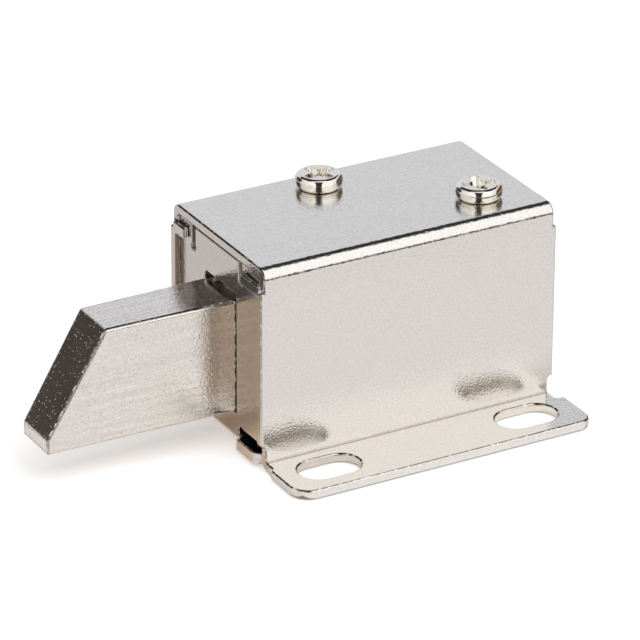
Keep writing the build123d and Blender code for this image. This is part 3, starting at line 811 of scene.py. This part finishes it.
def make_floor_material():
    """Matt and nearly white, with a little light added for camera rays, so that the unshadowed floor is
    white. Reflections see a brown table with a gloss that mirrors the tent."""
    material, tree, shader = matt_material("studio floor", floor_colour)
    rays = add(tree, "ShaderNodeLightPath").outputs
    lift = calculate(tree, "MULTIPLY", rays["Is Camera Ray"], floor_lift)
    shader.inputs["Emission Color"].default_value = (1, 1, 1, 1)
    tree.links.new(lift, shader.inputs["Emission Strength"])
    table = add(tree, "ShaderNodeEmission", [("Color", (*table_colour, 1))])
    gloss = add(tree, "ShaderNodeBsdfGlossy", [("Color", (*table_gloss, 1)), ("Roughness", table_blur)])
    seen_in_metal = add(tree, "ShaderNodeAddShader", [(0, table.outputs[0]), (1, gloss.outputs[0])])
    both = add(tree, "ShaderNodeMixShader", [(0, rays["Is Glossy Ray"]), (1, shader.outputs[0]),
                                             (2, seen_in_metal.outputs[0])])
    tree.links.new(both.outputs[0], tree.nodes["Material Output"].inputs["Surface"])
    return material


stage_sheet("floor", rectangle(-floor_half, -floor_half, floor_half, floor_half), -floor_drop,
            make_floor_material())


def make_card(name, colour, height, corners):
    """A pale or dark sheet on the floor that only reflections see: things that lie about the studio, and
    painted shadow of the object on the floor.
    """
    material, _, _ = matt_material(name, colour)
    card = stage_sheet(name, corners, height, material)
    card.visible_camera = False
    card.visible_diffuse = False
    card.visible_shadow = False
    card.visible_transmission = False


table_height, paper_height = 0, -0.05
# The shade cards are painted shadow of the object on the floor under the slots and under the bolt, which only
# reflections see; the first slot's pair is darker than the second's.
cards = [
    ("table_edge", (0.05, 0.04, 0.035), table_height, rectangle(-300, -230, 400, -64)),
    ("pale_paper", (0.67, 0.635, 0.625), table_height,
     [(-90, 42), (-46, 30), (-24, 22), (-24, 110), (-110, 110)]),
    ("paper_before_nose", (0.89, 0.88, 0.88), table_height, rectangle(-75, 14, -46, 30)),
    ("paper_under_slot_1", (0.80, 0.76, 0.72), paper_height, rectangle(-20, -1.6, 0, 4)),
    ("shade_under_slot_1", (0.35, 0.25, 0.17), paper_height, rectangle(-20, -4.5, 0, -1.6)),
    ("paper_under_slot_2", (0.98, 0.94, 0.88), paper_height, rectangle(0, -1.6, 20, 4)),
    ("shade_under_slot_2", (0.45, 0.33, 0.22), paper_height, rectangle(0, -4.5, 20, -1.6)),
    ("paper_before_flange", (0.93, 0.92, 0.91), paper_height, rectangle(-25, -8, 24, -4.7)),
    ("paper_beside_flange", (0.74, 0.72, 0.71), paper_height, rectangle(20.3, -4.7, 40, 40)),
    ("paper_before_case", (0.80, 0.78, 0.76), paper_height, rectangle(-24, -7, -20.1, 5)),
    ("shade_under_bolt", (0.90, 0.74, 0.60), paper_height, rectangle(-44, 8, -20, 20)),
]
for card in cards:
    make_card(*card)

lamp = bpy.data.lights.new("soft box", "AREA")
lamp.shape = "RECTANGLE"
lamp.size, lamp.size_y = 0.5, 0.4
lamp.energy = 0.86
lamp_place, lamp_target = Vector((0.10, -0.25, 0.50)), Vector((0, 0.01, 0))
lamp_stand = bpy.data.objects.new("soft box", lamp)
lamp_stand.location = lamp_place
lamp_stand.rotation_euler = (lamp_target - lamp_place).to_track_quat("-Z", "Y").to_euler()
lamp_stand.visible_glossy = False
bpy.context.scene.collection.objects.link(lamp_stand)
bpy.context.scene.view_settings.view_transform = "Standard"

# Camera
# Stands where the photograph was taken: in front of the bolt's end, to the left, looking down on the case.
azimuth, elevation, roll = radians(-29.43), radians(25.79), radians(0.29)
camera_target = Vector((-8.3, 13.8, 9.6))
camera_distance = 570.9
camera_shift_right, camera_shift_up = 1.07, 3.15

back = Vector((sin(azimuth) * cos(elevation), -cos(azimuth) * cos(elevation), sin(elevation)))
right = Vector((cos(azimuth), sin(azimuth), 0))
up = back.cross(right)
right, up = cos(roll) * right + sin(roll) * up, -sin(roll) * right + cos(roll) * up
camera_place = camera_target + back * camera_distance + right * camera_shift_right + up * camera_shift_up
lens = bpy.data.cameras.new("camera")
lens.lens = 270
lens.sensor_width = 36
lens.clip_end = 10
camera = bpy.data.objects.new("camera", lens)
camera_turn = Matrix((right, up, back)).transposed().to_4x4()
camera.matrix_world = Matrix.Translation(camera_place * mm) @ camera_turn
bpy.context.scene.collection.objects.link(camera)
bpy.context.scene.camera = camera
